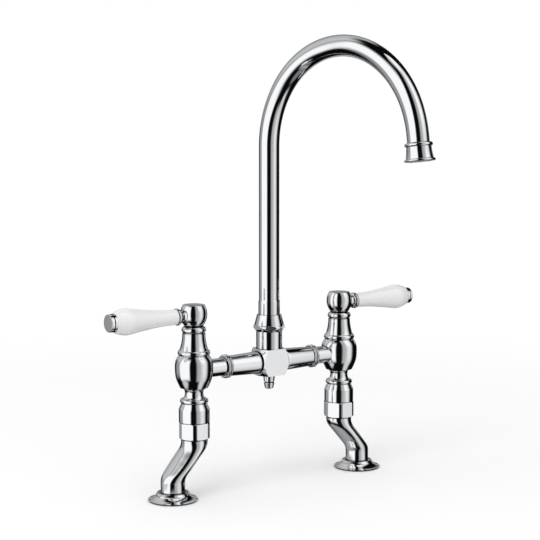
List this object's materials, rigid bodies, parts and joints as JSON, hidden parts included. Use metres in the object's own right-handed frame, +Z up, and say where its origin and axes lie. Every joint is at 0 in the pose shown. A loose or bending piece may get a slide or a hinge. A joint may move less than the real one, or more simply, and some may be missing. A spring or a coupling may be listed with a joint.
{
  "type": "deck-mounted bridge mixer tap",
  "caption": "Chrome deck-mounted bridge mixer tap with a swivelling swan-neck spout, ceramic lever handles and cranked legs on round deck flanges.",
  "frame": {"origin": "on the deck, midway between the two deck holes", "axes": "+Z up, X along the bridge with the hot side at -X, -Y towards the user and the basin"},
  "size_m": [0.369, 0.2281, 0.4458],
  "materials": {
    "chrome": "polished chrome plate on brass",
    "ceramic": "white glazed ceramic",
    "valve_ceramic": "lapped alumina",
    "brass": "machined brass",
    "steel": "stainless steel",
    "rubber": "black nitrile rubber",
    "plastic": "white acetal"
  },
  "bodies": {
    "bridge": {"bridge_block": "chrome", "bridge_plug": "chrome", "left_arm_seal": "rubber", "left_bonnet": "chrome", "left_bridge_arm": "chrome", "left_cartridge_housing": "brass", "left_fixed_disc": "valve_ceramic", "left_seat_seal": "rubber", "left_union_nut": "chrome", "left_union_sleeve": "chrome", "left_union_washer": "rubber", "left_valve_body": "chrome", "right_arm_seal": "rubber", "right_bonnet": "chrome", "right_bridge_arm": "chrome", "right_cartridge_housing": "brass", "right_fixed_disc": "valve_ceramic", "right_seat_seal": "rubber", "right_union_nut": "chrome", "right_union_sleeve": "chrome", "right_union_washer": "rubber", "right_valve_body": "chrome", "spout_nut": "chrome", "spout_socket": "chrome"},
    "left_leg": {"left_crank_leg": "chrome", "left_deck_flange": "chrome", "left_deck_seal": "rubber", "left_leg_clip": "steel"},
    "right_leg": {"right_crank_leg": "chrome", "right_deck_flange": "chrome", "right_deck_seal": "rubber", "right_leg_clip": "steel"},
    "left_lever": {"left_grub_screw": "steel", "left_lever_end_cap": "chrome", "left_lever_ferrule": "chrome", "left_lever_grip": "ceramic", "left_lever_hub": "chrome", "left_lever_rod": "steel", "left_moving_disc": "valve_ceramic", "left_spindle": "brass"},
    "right_lever": {"right_grub_screw": "steel", "right_lever_end_cap": "chrome", "right_lever_ferrule": "chrome", "right_lever_grip": "ceramic", "right_lever_hub": "chrome", "right_lever_rod": "steel", "right_moving_disc": "valve_ceramic", "right_spindle": "brass"},
    "spout": {"aerator_insert": "plastic", "aerator_washer": "rubber", "nozzle_shell": "chrome", "spout_o_ring_lower": "rubber", "spout_o_ring_upper": "rubber", "spout_split_ring": "plastic", "spout_stem": "chrome", "spout_tube": "chrome"}
  },
  "joints": [
    {"name": "spout_swivel", "type": "hinge", "parent": "bridge", "child": "spout", "pos_m": [0, 0, 0.16], "axis": [0, 0, 1], "continuous": true},
    {"name": "left_lever_turn", "type": "hinge", "parent": "bridge", "child": "left_lever", "pos_m": [-0.09, 0, 0.178], "axis": [0, 0, 1], "range_deg": [0, 90]},
    {"name": "right_lever_turn", "type": "hinge", "parent": "bridge", "child": "right_lever", "pos_m": [0.09, 0, 0.178], "axis": [0, 0, 1], "range_deg": [-90, 0]},
    {"name": "left_leg_swivel", "type": "hinge", "parent": "bridge", "child": "left_leg", "pos_m": [-0.09, 0, 0.055], "axis": [0, 0, 1], "continuous": true},
    {"name": "right_leg_swivel", "type": "hinge", "parent": "bridge", "child": "right_leg", "pos_m": [0.09, 0, 0.055], "axis": [0, 0, 1], "continuous": true}
  ]
}
